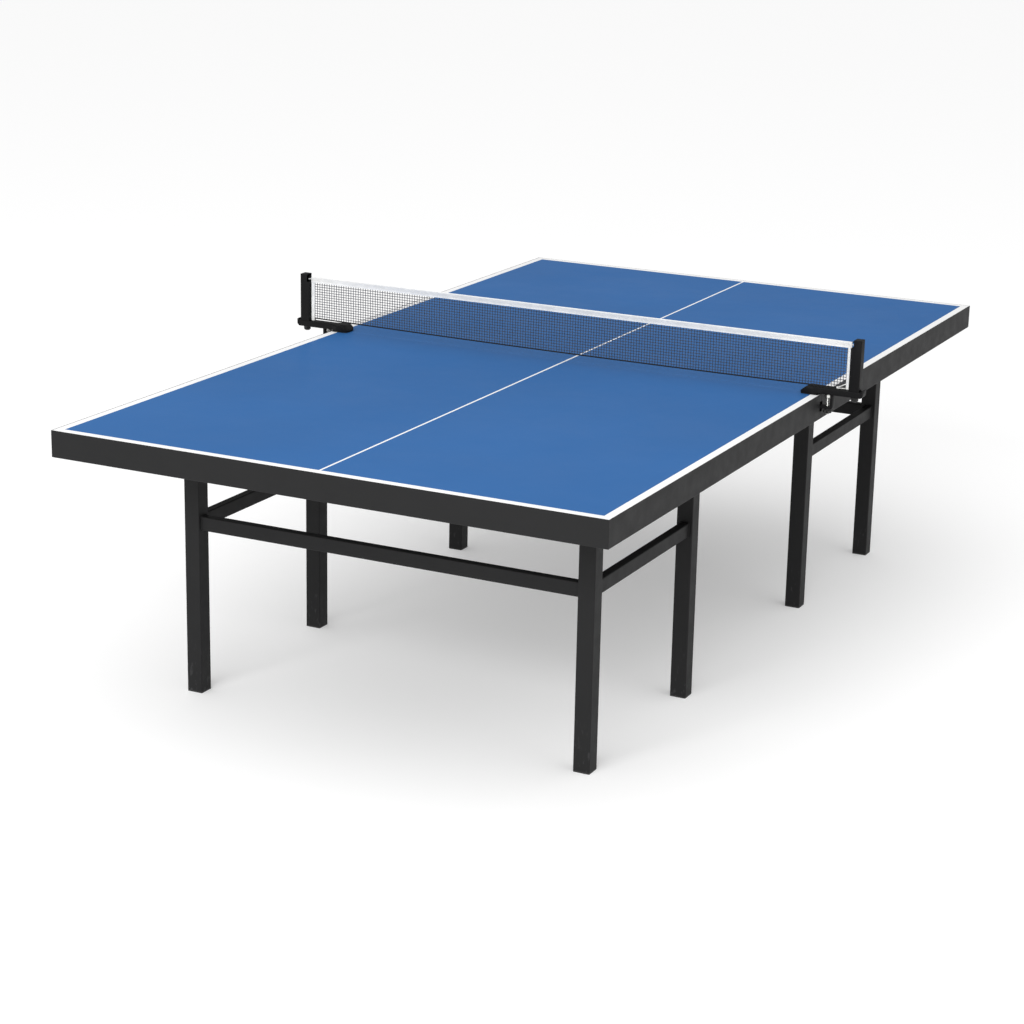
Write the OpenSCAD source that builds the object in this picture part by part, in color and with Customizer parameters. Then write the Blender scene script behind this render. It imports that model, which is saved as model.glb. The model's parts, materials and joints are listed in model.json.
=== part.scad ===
// Two-piece ping pong table with a clamp-on net set.
// Millimetres, +Z up, +Y along the length. The origin is on the floor under the middle of the net.

/* [Playing surface] */
// Length of the whole playing surface
table_len = 2740; // [2600:10:2900]
// Width of the playing surface
table_w = 1525; // [1450:5:1600]
// Height of the playing surface above the floor
surface_h = 760; // [700:5:800]
// Thickness of each board
board_t = 20; // [18:1:25]
// Free gap on each side of the seam between the two boards
seam_gap = 0.5; // [0.3:0.1:1]

/* [Steel frame] */
// Height of the apron tube under the board
apron_h = 50; // [45:1:60]
// Width of the apron tube
apron_t = 25; // [20:1:30]
// Thickness of the apron's upstand that covers the board's edge
lip_t = 1.5; // [1:0.5:2]
// Wall of every frame tube
tube_wall = 2; // [1.5:0.5:2.5]
// Outside corner radius of every frame tube
tube_r = 3; // [2.6:0.1:4]
// Height of the bearer tubes under each board
bearer_h = 25; // [20:1:30]
// Width of the bearer tubes under each board
bearer_w = 50; // [48:1:60]
// Distance from the seam to the centre beam's near face
beam_setback = 40; // [30:1:80]

/* [Legs and rails] */
// Side of the square leg tube
leg_w = 45; // [40:1:48]
// Distance of the legs from the long centre line
leg_x = 565; // [500:5:620]
// Distance of the outer legs from the net
outer_leg_y = 1030; // [900:5:1150]
// Distance of the inner legs from the net
inner_leg_y = 430; // [300:5:500]
// Height of the rail tube
rail_h = 38; // [30:1:45]
// Thickness of the rail tube
rail_t = 25; // [20:1:30]
// Height of the rails' top face above the floor
rail_top = 485; // [350:5:600]
// Thickness of the foot cap's sole
foot_t = 4; // [3:1:8]

/* [Net] */
// Height of the net's top edge above the surface
net_h = 152.5; // [140:0.5:160]
// Height of the white tape along the top of the net
tape_h = 17; // [12:1:20]
// Width of the white sleeve at each end of the net
sleeve_w = 11.5; // [9:0.5:14]
// Height of the posts above the surface
post_h = 160; // [155:1:170]
// Distance from the table's side to the outer face of the post
post_reach = 108.5; // [90:0.5:152.5]
// Width of the post along the net
post_w = 30; // [20:1:36]
// Depth of the post across the net
post_d = 28; // [24:1:30]
// Travel of the net height adjusters
lift = 8; // [2:1:8]

/* [Net clamps] */
// Height of the clamp arm
arm_h = 17; // [15:1:20]
// Width of the clamp arm
arm_w = 30; // [28:1:36]
// Width of the flared upper jaw
jaw_w = 50; // [44:1:60]
// Reach of the upper jaw over the playing surface
jaw_reach = 56; // [50:1:70]
// Thickness of the rubber jaw pads
pad_t = 3; // [2:0.5:4]
// Diameter of the clamp stud
stud_d = 10; // [8:1:10]
// Distance from the table's side to the clamp stud
stud_reach = 18.5; // [18:0.5:20]
// Travel of the lower jaw
jaw_open = 8; // [4:1:10]

/* [Hidden] */
$fn = 48;
half_len = table_len / 2;
half_w = table_w / 2;
board_z = surface_h - board_t;
apron_z = board_z - apron_h;
bearer_z = board_z - bearer_h;
inside_w = table_w - 2 * apron_t;
plate_t = 4;
plate_x = 110;
plate_y = 48;
leg_top = bearer_z - plate_t;
leg_xs = [-leg_x, leg_x];
half_leg_ys = [-outer_leg_y, -inner_leg_y];

// Fasteners: M8 leg bolts, wood screws into the boards, 8 mm dowels across the seam
bolt_r = 4;
bolt_head_h = 5.3;
bolt_head_af = 13;
bolt_len = 20;
nut_h = 6.5;
bolt_dx = 41;
bolt_dy = 13;
bolt_hole_r = 4.5;
screw_r = 2.5;
screw_head_r = 5;
screw_head_h = 2.5;
screw_bite = 12;
screw_xs = [-690, -345, 0, 345, 690];
dowel_r = 4;
dowel_out = 25;
dowel_in = 30;
dowel_xs = [-500, 0, 500];
dowel_z = surface_h - board_t / 2;
bush_r = 6;
running = 0.06;

// Slot in the side aprons that lets the lower jaw reach the board and open under it
lever_top = board_z - 10;
lever_t = 8;
lever_z = lever_top - lever_t;
lever_w = 16;
slot_w = lever_w + 4;
slot_z = lever_z - jaw_open - 3;

// Net set, drawn for the right-hand side and mirrored to the left
arm_z = surface_h + pad_t;
arm_top = arm_z + arm_h;
jaw_end = half_w - jaw_reach;
post_out = half_w + post_reach;
post_in = post_out - post_w;
post_x = post_out - post_w / 2;
post_z = arm_top + 0.2;
post_top = surface_h + post_h;
post_wall = 2;
post_base_h = 6;
arm_out = post_out + 11;
stem_r = 4;
stem_depth = arm_h + lift + 3.5;
stud_x = half_w + stud_reach;
stud_r = stud_d / 2;
knob_h = 12;
stud_low = lever_z - knob_h - 4;
stud_bite = 14;
heel_x = stud_x + 9;
heel_t = 7;
jaw_foot_x = half_w - 46.5;
jaw_foot_w = 17;
adjuster_r = 10;
adjuster_h = 13.5;
net_top = surface_h + net_h;
tape_z = net_top - tape_h;
sleeve_out = post_in - 0.5;
sleeve_in = sleeve_out - sleeve_w;
net_low = arm_top + 1.5;
cord_r = 1.5;
notch_x = 8;
notch_z = post_top - 22;
hook_wall_x = post_in + post_wall;
hook_t = 2.5;

// Outline of a bar with round corners, centred on the origin
module round_bar(w, h, r) {
    square([w, h - 2 * r], center = true);
    square([w - 2 * r, h], center = true);
    for (x = [-1, 1], y = [-1, 1])
        translate([x * (w / 2 - r), y * (h / 2 - r)]) circle(r);
}

// Section of a tube with round corners, centred on the origin
module tube_section(w, h) {
    difference() {
        round_bar(w, h, tube_r);
        round_bar(w - 2 * tube_wall, h - 2 * tube_wall, tube_r - tube_wall / 2);
    }
}

// Tube along X, centred in X and Y, with its lower face at z = 0
module tube_x(len, w, h) {
    translate([0, 0, h / 2])
        rotate([90, 0, 90])
            linear_extrude(len, center = true) tube_section(w, h);
}

// Tube along Y, centred in X and Y, with its lower face at z = 0
module tube_y(len, w, h) {
    rotate([0, 0, 90]) tube_x(len, w, h);
}

// Draws the near half's piece as it is, or turned into the far half's
module half(far) {
    mirror([0, far ? 1 : 0, 0]) children();
}

// Draws a right-hand piece as it is, or turned into the left-hand one
module side(left) {
    mirror([left ? 1 : 0, 0, 0]) children();
}

// Draws a right-hand piece on both sides
module both_sides() {
    for (left = [false, true]) side(left) children();
}

// Apron section: x runs inwards from the outer face, y is the height above the floor
module apron_section() {
    difference() {
        union() {
            translate([apron_t / 2, apron_z + apron_h / 2]) round_bar(apron_t, apron_h, tube_r);
            translate([0, apron_z + tube_r]) square([lip_t, surface_h - apron_z - tube_r]);
        }
        translate([apron_t / 2, apron_z + apron_h / 2])
            round_bar(apron_t - 2 * tube_wall, apron_h - 2 * tube_wall, tube_r - tube_wall / 2);
    }
}

module end_apron() {
    color("#363636")
        intersection() {
            translate([0, -half_len, 0])
                rotate([90, 0, 90]) linear_extrude(table_w, center = true) apron_section();
            linear_extrude(surface_h + 1)
                polygon([
                    [-half_w, -half_len],
                    [half_w, -half_len],
                    [half_w - apron_t, apron_t - half_len],
                    [apron_t - half_w, apron_t - half_len]
                ]);
        }
}

module side_apron() {
    color("#363636")
        difference() {
            intersection() {
                translate([half_w, -seam_gap, 0])
                    mirror([1, 0, 0])
                        rotate([90, 0, 0]) linear_extrude(half_len - seam_gap) apron_section();
                linear_extrude(surface_h + 1)
                    polygon([
                        [half_w, -half_len],
                        [half_w, 0],
                        [half_w - apron_t, 0],
                        [half_w - apron_t, apron_t - half_len]
                    ]);
            }
            translate([half_w - apron_t - 1, -slot_w / 2, slot_z])
                cube([apron_t + 2, slot_w, board_z - slot_z]);
        }
}

module board(far) {
    color("#3f6cab")
        difference() {
            translate([lip_t - half_w, lip_t - half_len, board_z])
                cube([table_w - 2 * lip_t, half_len - lip_t - seam_gap, board_t]);
            screw_places() translate([0, 0, board_z - 1]) cylinder(r = screw_r, h = screw_bite + 1);
            for (x = dowel_xs)
                translate([x, 1, dowel_z])
                    rotate([90, 0, 0]) cylinder(r = far ? bush_r : dowel_r, h = dowel_in + 1);
        }
}

module centre_beam() {
    color("#363636")
        translate([0, -beam_setback - apron_t / 2, apron_z]) tube_x(inside_w, apron_t, apron_h);
}

// Copies its children to the five board screws of each bearer
module screw_places() {
    for (x = screw_xs, y = half_leg_ys) translate([x, y, 0]) children();
}

// Copies its children to the four bolts around one leg
module bolt_places() {
    for (x = [-bolt_dx, bolt_dx], y = [-bolt_dy, bolt_dy]) translate([x, y, 0]) children();
}

module bearer(y) {
    color("#363636")
        difference() {
            translate([0, y, bearer_z]) tube_x(inside_w, bearer_w, bearer_h);
            for (x = screw_xs)
                translate([x, y, bearer_z - 1]) cylinder(r = screw_r, h = bearer_h + 2);
            for (x = leg_xs)
                translate([x, y, bearer_z - 1]) bolt_places() cylinder(r = bolt_hole_r, h = tube_wall + 2);
        }
}

module leg(x, y) {
    color("#343434")
        translate([x, y, foot_t]) linear_extrude(leg_top - foot_t) tube_section(leg_w, leg_w);
}

module end_rail() {
    color("#363636")
        translate([0, -outer_leg_y, rail_top - rail_h]) tube_x(2 * leg_x - leg_w, rail_t, rail_h);
}

module side_rail() {
    color("#363636")
        translate([leg_x, -(outer_leg_y + inner_leg_y) / 2, rail_top - rail_h])
            tube_y(outer_leg_y - inner_leg_y - leg_w, rail_t, rail_h);
}

module leg_plates() {
    color("#343434")
        for (x = leg_xs, y = half_leg_ys)
            translate([x, y, leg_top])
                difference() {
                    linear_extrude(plate_t) round_bar(plate_x, plate_y, 6);
                    bolt_places() translate([0, 0, -1]) cylinder(r = bolt_hole_r, h = plate_t + 2);
                }
}

module leg_bolts() {
    color("silver")
        for (x = leg_xs, y = half_leg_ys)
            translate([x, y, leg_top])
                bolt_places() {
                    leg_bolt();
                    translate([0, 0, plate_t + tube_wall]) weld_nut();
                }
}

module leg_bolt() {
    translate([0, 0, -bolt_head_h]) cylinder(d = bolt_head_af / cos(30), h = bolt_head_h, $fn = 6);
    cylinder(r = bolt_r, h = bolt_len);
}

module weld_nut() {
    difference() {
        cylinder(d = bolt_head_af / cos(30), h = nut_h, $fn = 6);
        translate([0, 0, -1]) cylinder(r = bolt_r + running, h = nut_h + 2);
    }
}

module board_screws() {
    color("silver")
        screw_places()
            translate([0, 0, bearer_z]) {
                translate([0, 0, -screw_head_h])
                    cylinder(r1 = screw_head_r - 1.5, r2 = screw_head_r, h = screw_head_h);
                cylinder(r = screw_r, h = bearer_h + screw_bite);
            }
}

// Plastic cap: a sole under the tube and a plug inside it
module foot_caps() {
    plug = leg_w - 2 * tube_wall - 0.2;
    color("#242424")
        for (x = leg_xs, y = half_leg_ys)
            translate([x, y, 0]) {
                linear_extrude(foot_t) round_bar(leg_w, leg_w, tube_r);
                translate([0, 0, foot_t]) linear_extrude(20) round_bar(plug, plug, 2);
            }
}

// Steel dowels pressed into the near board, with a tapered nose
module dowel_pins() {
    nose = 4;
    color("silver")
        for (x = dowel_xs)
            translate([x, -dowel_in, dowel_z])
                rotate([-90, 0, 0]) {
                    cylinder(r = dowel_r, h = dowel_in + dowel_out - nose);
                    translate([0, 0, dowel_in + dowel_out - nose])
                        cylinder(r1 = dowel_r, r2 = dowel_r - 1.5, h = nose);
                }
}

module dowel_bushes() {
    color("gold")
        for (x = dowel_xs)
            translate([x, seam_gap, dowel_z])
                rotate([-90, 0, 0])
                    difference() {
                        cylinder(r = bush_r, h = dowel_in - seam_gap);
                        translate([0, 0, -1]) cylinder(r = dowel_r + running, h = dowel_in + 2);
                    }
}

// Plan of the clamp arm: a flared jaw over the table that narrows to a straight bar
module arm_plan() {
    polygon([
        [jaw_end, -jaw_w / 2 + 8],
        [jaw_end + 6, -jaw_w / 2],
        [jaw_end + 38, -jaw_w / 2],
        [half_w, -arm_w / 2],
        [arm_out, -arm_w / 2],
        [arm_out, arm_w / 2],
        [half_w, arm_w / 2],
        [jaw_end + 38, jaw_w / 2],
        [jaw_end + 6, jaw_w / 2],
        [jaw_end, jaw_w / 2 - 8]
    ]);
}

// Side view of the clamp arm, with a sloping nose and an upturned lip at the outer end
module arm_side() {
    polygon([
        [jaw_end, arm_z],
        [jaw_end, arm_z + 4],
        [jaw_end + 16, arm_top],
        [arm_out - 4, arm_top],
        [arm_out - 4, arm_top + 5],
        [arm_out, arm_top + 5],
        [arm_out, arm_z + 6],
        [arm_out - 6, arm_z]
    ]);
}

module clamp_arm() {
    color("#242424")
        difference() {
            intersection() {
                translate([0, 0, arm_z - 1]) linear_extrude(arm_h + 10) arm_plan();
                rotate([90, 0, 0]) linear_extrude(jaw_w + 2, center = true) arm_side();
            }
            translate([post_x, 0, arm_z - 1]) cylinder(r = stem_r + running, h = arm_h + 2);
            translate([stud_x, 0, arm_z - 1]) cylinder(r = stud_r, h = stud_bite + 1);
        }
}

module upper_jaw_pads() {
    pad_len = jaw_reach - 4;
    color("#1a1a1a")
        both_sides()
            translate([jaw_end + 2 + pad_len / 2, 0, surface_h])
                linear_extrude(pad_t) round_bar(pad_len, jaw_w - 4, 8);
}

module clamp_studs() {
    color("silver")
        both_sides()
            translate([stud_x, 0, stud_low]) cylinder(r = stud_r, h = arm_z + stud_bite - stud_low);
}

// Washer and hexagon nut that lock each stud to its arm
module stud_nuts() {
    washer_t = 2;
    lock_h = 8;
    color("silver")
        both_sides()
            translate([stud_x, 0, arm_z - washer_t]) {
                difference() {
                    cylinder(r = 8.5, h = washer_t);
                    translate([0, 0, -1]) cylinder(r = stud_r + running, h = washer_t + 2);
                }
                translate([0, 0, -lock_h])
                    difference() {
                        rotate(30) cylinder(d = 16 / cos(30), h = lock_h, $fn = 6);
                        translate([0, 0, -1]) cylinder(r = stud_r + running, h = lock_h + 2);
                    }
            }
}

// Lever with a foot under the board, a heel under the arm and the stud between them
module lower_jaw() {
    color("#242424")
        difference() {
            rotate([90, 0, 0])
                linear_extrude(lever_w, center = true)
                    polygon([
                        [jaw_foot_x, lever_z],
                        [jaw_foot_x, board_z - pad_t],
                        [jaw_foot_x + jaw_foot_w, board_z - pad_t],
                        [jaw_foot_x + jaw_foot_w, lever_top],
                        [heel_x, lever_top],
                        [heel_x, arm_z],
                        [heel_x + heel_t, arm_z],
                        [heel_x + heel_t, lever_z + 4],
                        [heel_x + heel_t - 4, lever_z]
                    ]);
            translate([stud_x, 0, lever_z - 1]) cylinder(r = stud_r + running, h = lever_t + 2);
        }
}

module lower_pad() {
    color("#1a1a1a")
        translate([jaw_foot_x, -lever_w / 2, board_z - pad_t]) cube([jaw_foot_w, lever_w, pad_t]);
}

// Star knob on the stud, under the lower jaw
module clamp_knob() {
    lobes = 6;
    color("#1c1c1c")
        translate([stud_x, 0, lever_z - knob_h])
            difference() {
                union() {
                    cylinder(r = 7.5, h = knob_h);
                    cylinder(r = 9.5, h = knob_h - 3);
                    for (i = [0:lobes - 1])
                        rotate(i * 360 / lobes) translate([8.5, 0, 0]) cylinder(r = 3.5, h = knob_h - 3);
                }
                translate([0, 0, -1]) cylinder(r = stud_r + running, h = knob_h + 2);
            }
}

// Rectangular tube post: open at the top on the net side, closed below by a base with a stem
module net_post() {
    height = post_top - post_z;
    color("#222222")
        translate([post_x, 0, post_z]) {
            difference() {
                linear_extrude(height) round_bar(post_w, post_d, 2);
                translate([0, 0, post_base_h])
                    linear_extrude(height - post_base_h - 2)
                        square([post_w - 2 * post_wall, post_d - 2 * post_wall], center = true);
                translate([-post_w / 2 - 1, -post_d / 2 - 1, notch_z - post_z])
                    cube([notch_x + 1, post_d + 2, post_top]);
            }
            translate([0, 0, -stem_depth]) cylinder(r = stem_r, h = stem_depth + 1);
        }
}

// Ribbed knob on the post's stem, under the arm
module height_knob() {
    ribs = 16;
    color("#1c1c1c")
        translate([post_x, 0, arm_z - 0.2 - adjuster_h])
            difference() {
                rotate_extrude()
                    polygon([
                        [0, 0],
                        [adjuster_r - 3, 0],
                        [adjuster_r - 1, 1],
                        [adjuster_r, 3],
                        [adjuster_r, adjuster_h],
                        [0, adjuster_h]
                    ]);
                translate([0, 0, 1]) cylinder(r = stem_r + running, h = adjuster_h);
                for (i = [0:ribs - 1])
                    rotate(i * 360 / ribs)
                        translate([adjuster_r + 0.3, 0, 3]) cylinder(r = 0.9, h = adjuster_h - 5);
            }
}

// Flat hook inside each post's open top, which holds the net's head cord under its tip
module post_hooks() {
    tip_z = net_top - 2.5;
    color("#1a1a1a")
        both_sides()
            rotate([90, 0, 0])
                linear_extrude(4, center = true)
                    polygon([
                        [hook_wall_x, notch_z - 18],
                        [hook_wall_x + hook_t, notch_z - 18],
                        [hook_wall_x + hook_t, notch_z - 6],
                        [hook_wall_x + 2 * hook_t, notch_z - 1],
                        [hook_wall_x + 2 * hook_t, tip_z + 3],
                        [hook_wall_x + 2 * hook_t - 1, tip_z + 4],
                        [hook_wall_x - 0.7, tip_z + 4],
                        [hook_wall_x - 1.7, tip_z + 3],
                        [hook_wall_x - 1.7, tip_z],
                        [hook_wall_x + 0.3, tip_z],
                        [hook_wall_x + 0.3, tip_z + 1.5],
                        [hook_wall_x + hook_t, tip_z + 1.5],
                        [hook_wall_x + hook_t, notch_z],
                        [hook_wall_x, notch_z - 5]
                    ]);
}

module net_mesh() {
    low = net_low + 2 * cord_r;
    color("#30343c")
        translate([-sleeve_in, -0.6, low]) cube([2 * sleeve_in, 1.2, tape_z - low]);
}

// White tape folded over the head cord, round along its top edge
module net_tape() {
    top_r = 2.4;
    color("white")
        rotate([90, 0, 90])
            linear_extrude(2 * sleeve_out, center = true) {
                translate([0, net_top - top_r]) circle(top_r);
                translate([-1.5, tape_z]) square([3, tape_h - top_r]);
            }
}

module net_sleeves() {
    color("white")
        both_sides()
            translate([(sleeve_in + sleeve_out) / 2, 0, net_low])
                linear_extrude(tape_z - net_low)
                    difference() {
                        round_bar(sleeve_w, 7, 3);
                        circle(2.6);
                    }
}

module net_rods() {
    color("silver")
        both_sides()
            translate([(sleeve_in + sleeve_out) / 2, 0, net_low + 1])
                cylinder(r = 2.5, h = tape_z - net_low - 2);
}

// Foot cord between the sleeves and the two ends of the head cord
module net_cords() {
    color("#202020")
        translate([0, 0, net_low + cord_r])
            rotate([0, 90, 0]) cylinder(r = cord_r, h = 2 * sleeve_in, center = true);
    color("white")
        both_sides()
            translate([sleeve_out, 0, net_top - 7])
                rotate([0, 90, 0]) cylinder(r = cord_r, h = hook_wall_x + hook_t - sleeve_out);
}

half(false) board(false);  // near_board
half(false) end_apron();  // near_end_apron
half(false) side(true) side_apron();  // near_left_apron
half(false) side(false) side_apron();  // near_right_apron
half(false) centre_beam();  // near_centre_beam
half(false) bearer(-outer_leg_y);  // near_outer_bearer
half(false) bearer(-inner_leg_y);  // near_inner_bearer
half(false) leg(-leg_x, -outer_leg_y);  // near_left_outer_leg
half(false) leg(leg_x, -outer_leg_y);  // near_right_outer_leg
half(false) leg(-leg_x, -inner_leg_y);  // near_left_inner_leg
half(false) leg(leg_x, -inner_leg_y);  // near_right_inner_leg
half(false) end_rail();  // near_end_rail
half(false) side(true) side_rail();  // near_left_rail
half(false) side(false) side_rail();  // near_right_rail
half(false) leg_plates();  // near_leg_plates
half(false) leg_bolts();  // near_leg_bolts
half(false) board_screws();  // near_board_screws
half(false) foot_caps();  // near_foot_caps
half(true) board(true);  // far_board
half(true) end_apron();  // far_end_apron
half(true) side(true) side_apron();  // far_left_apron
half(true) side(false) side_apron();  // far_right_apron
half(true) centre_beam();  // far_centre_beam
half(true) bearer(-outer_leg_y);  // far_outer_bearer
half(true) bearer(-inner_leg_y);  // far_inner_bearer
half(true) leg(-leg_x, -outer_leg_y);  // far_left_outer_leg
half(true) leg(leg_x, -outer_leg_y);  // far_right_outer_leg
half(true) leg(-leg_x, -inner_leg_y);  // far_left_inner_leg
half(true) leg(leg_x, -inner_leg_y);  // far_right_inner_leg
half(true) end_rail();  // far_end_rail
half(true) side(true) side_rail();  // far_left_rail
half(true) side(false) side_rail();  // far_right_rail
half(true) leg_plates();  // far_leg_plates
half(true) leg_bolts();  // far_leg_bolts
half(true) board_screws();  // far_board_screws
half(true) foot_caps();  // far_foot_caps
dowel_pins();
dowel_bushes();
side(true) clamp_arm();  // left_clamp_arm
side(false) clamp_arm();  // right_clamp_arm
upper_jaw_pads();
clamp_studs();
stud_nuts();
side(true) lower_jaw();  // left_lower_jaw
side(false) lower_jaw();  // right_lower_jaw
side(true) lower_pad();  // left_lower_pad
side(false) lower_pad();  // right_lower_pad
side(true) clamp_knob();  // left_clamp_knob
side(false) clamp_knob();  // right_clamp_knob
side(true) net_post();  // left_net_post
side(false) net_post();  // right_net_post
side(true) height_knob();  // left_height_knob
side(false) height_knob();  // right_height_knob
post_hooks();
net_mesh();
net_tape();
net_sleeves();
net_rods();
net_cords();
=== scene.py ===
import json
import math
import random

import bmesh
import bpy
from mathutils import Matrix, Vector, noise


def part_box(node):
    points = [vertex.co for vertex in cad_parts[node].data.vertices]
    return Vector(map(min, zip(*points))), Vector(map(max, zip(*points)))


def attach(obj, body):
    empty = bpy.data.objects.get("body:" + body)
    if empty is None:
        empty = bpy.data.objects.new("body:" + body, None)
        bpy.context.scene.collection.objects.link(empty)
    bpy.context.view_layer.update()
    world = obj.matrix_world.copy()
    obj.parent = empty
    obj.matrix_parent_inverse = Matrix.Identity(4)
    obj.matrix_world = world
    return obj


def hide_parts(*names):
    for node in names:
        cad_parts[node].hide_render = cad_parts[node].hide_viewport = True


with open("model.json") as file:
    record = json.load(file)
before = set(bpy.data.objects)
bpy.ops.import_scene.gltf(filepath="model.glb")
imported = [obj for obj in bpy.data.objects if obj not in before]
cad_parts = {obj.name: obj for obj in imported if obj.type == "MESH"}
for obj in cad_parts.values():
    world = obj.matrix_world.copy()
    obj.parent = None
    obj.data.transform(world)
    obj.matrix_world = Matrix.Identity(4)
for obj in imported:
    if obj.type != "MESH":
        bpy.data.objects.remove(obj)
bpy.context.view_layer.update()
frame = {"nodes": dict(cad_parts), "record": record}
scene = bpy.context.scene

# Lengths are in metres, in the CAD model's frame.

# Which way each side lies along X, and each half along Y
SIDES = {"left": -1, "right": 1}
HALVES = {"near": -1, "far": 1}

# Camera, placed and turned as the photograph was taken
LENS_MM = 86.3
SENSOR_MM = 36
CAMERA_AT = (2.896, -6.13, 2.32)
HEADING_DEG, DIP_DEG, ROLL_DEG = 26.52, 16.52, 1.15
CLIP_END = 400

# Sky: its strength at the horizon and overhead, and the sines of the elevations between which it rises
SKY_AT_HORIZON, SKY_OVERHEAD = 0.30, 1.17
SKY_RISES_FROM, SKY_RISES_TO = 0.22, 0.9

# Softboxes: place, size and watts
LAMPS_AIM = (0, 0, 0.6)
FRONT_LAMP = (0.5, -9.0, 4.6), (7.0, 4.0), 600
SIDE_LAMP = (8.0, -1.5, 3.4), (6.0, 3.0), 80

# Floor, a hair below the feet, and the far wall behind it
FLOOR_ALBEDO = 0.75
FLOOR_GLOW = 0.285
FLOOR_HALF = 90.0
FLOOR_DROP = 0.0002
BACKDROP_R, BACKDROP_H, BACKDROP_GLOW = 85.0, 60.0, 0.95

# Boards: the white border and centre line, the apron's upstand over the edge, and the paint's rounding
LINE_W = 0.024
CENTRE_LINE_W = 0.006
LIP_T = 0.0015
PAINT_EDGE_R = 0.0006

# Netting: distance between upright threads, rows of level ones, and how far a crossing strays
PITCH = 0.0082
ROWS = 14
THREAD_R = 0.00086
THREAD_STRAY = 0.00009
THREAD_SIDES = 6
KNOT_R = 0.00155
KNOT_PROFILE = [(-0.9, 0.4), (-0.6, 0.8), (0.6, 0.8), (0.9, 0.4)]  # height and radius, in KNOT_R

# Tape, sleeves and their stitches
CLOTH_T = 0.0005
TAPE_WAIST = 0.00125
HEM_H = 0.0036
HEM_EXTRA = 0.00022
SLEEVE_TO_POST = 0.0004
STITCH_PITCH = 0.003
STITCH_L, STITCH_R = 0.0019, 0.00022

# Cords of the net: the foot cord rises to the left and sags in the middle
HEAD_CORD_R = 0.0012
TIE_R = 0.0012
FOOT_CORD_R = 0.0019
FOOT_CORD_SAG = 0.005
FOOT_LINE_RISE = 0.005

# Weld beads: radius, length and depth of a ripple, gap to the tube's face, and stop below the board
BEAD_R = 0.0021
BEAD_SIDES = 7
RIPPLE = 0.0024
RIPPLE_DEPTH = 0.13
BEAD_GAP = 0.0004
BEAD_STOP = 0.004

# Clamps, and how the bores in them and in the boards are cut
BORE_SIDES = 32
BORE_OVERCUT = 0.002
STUD_PITCH = 0.0015
STUD_BORE_R = 0.0049
STEM_BORE_R = 0.0042

# Distance between the crests of a Wave texture at scale 1, and the sockets of a Mix node for colours
WAVE_PERIOD = 0.314
MIX_FACTOR, MIX_A, MIX_B, MIX_RESULT = 0, 6, 7, 2


# ---------------------------------------------------------------- mesh kit

class Shape:
    """Vertices, faces and each face's material number while a piece is built."""

    def __init__(self):
        self.verts, self.faces, self.patches = [], [], []

    def face(self, corners, patch=0):
        """Adds one face, by its corners' numbers."""
        self.faces.append(tuple(corners))
        self.patches.append(patch)

    def skin(self, rings, ends=True, loop=False):
        """Joins rings of equal count into a tube, with flat ends or closed into a loop."""
        start, n, count = len(self.verts), len(rings[0]), len(rings)
        for ring in rings:
            self.verts.extend(Vector(p) for p in ring)
        for i in range(count if loop else count - 1):
            a, b = start + i * n, start + (i + 1) % count * n
            for k in range(n):
                m = (k + 1) % n
                self.face((a + k, a + m, b + m, b + k))
        if ends and not loop:
            self.face(range(start, start + n))
            self.face(range(start + (count - 1) * n, start + count * n))
        return self

    def add(self, other):
        """Takes in another shape."""
        base = len(self.verts)
        self.verts.extend(other.verts)
        for corners, patch in zip(other.faces, other.patches):
            self.face([base + i for i in corners], patch)

    def mirrored_x(self):
        """Turns the shape into its mirror image across the table's long middle."""
        self.verts = [Vector((-v.x, v.y, v.z)) for v in self.verts]
        self.faces = [tuple(reversed(f)) for f in self.faces]
        return self


def build(name, shape, materials, sharp_deg=35):
    """Makes the Blender object of a shape, with normals outwards and soft shading."""
    mesh = bpy.data.meshes.new(name)
    mesh.from_pydata(shape.verts, [], shape.faces)
    for material in materials:
        mesh.materials.append(material)
    mesh.polygons.foreach_set("material_index", shape.patches)
    work = bmesh.new()
    work.from_mesh(mesh)
    bmesh.ops.recalc_face_normals(work, faces=work.faces)
    work.to_mesh(mesh)
    work.free()
    mesh.shade_smooth()
    mesh.set_sharp_from_angle(angle=math.radians(sharp_deg))
    piece = bpy.data.objects.new(name, mesh)
    scene.collection.objects.link(piece)
    return piece


def settle(piece, body, slot, *nodes):
    """Says which body a piece rides on and the CAD nodes it stands for, which it hides; the slot argument
    is not used.
    """
    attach(piece, body)
    if nodes:
        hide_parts(*nodes)
    return piece


def bake_modifiers(piece):
    """Applies a piece's modifiers to its mesh."""
    graph = bpy.context.evaluated_depsgraph_get()
    piece.data = bpy.data.meshes.new_from_object(piece.evaluated_get(graph))
    piece.modifiers.clear()
    return piece


def round_edges(piece, width):
    """Adds a bevel on every edge that turns by more than 30 degrees."""
    bevel = piece.modifiers.new("round", "BEVEL")
    bevel.width = width
    bevel.segments = 2
    bevel.limit_method = "ANGLE"
    bevel.angle_limit = math.radians(30)
    bevel.miter_outer = "MITER_ARC"


def cut(piece, shape):
    """Cuts a closed shape out of a piece."""
    cutter = build("cutter", shape, [piece.data.materials[-1]])
    modifier = piece.modifiers.new("cut", "BOOLEAN")
    modifier.operation = "DIFFERENCE"
    modifier.solver = "EXACT"
    modifier.object = cutter
    bake_modifiers(piece)
    bpy.data.objects.remove(cutter)
    return piece


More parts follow.
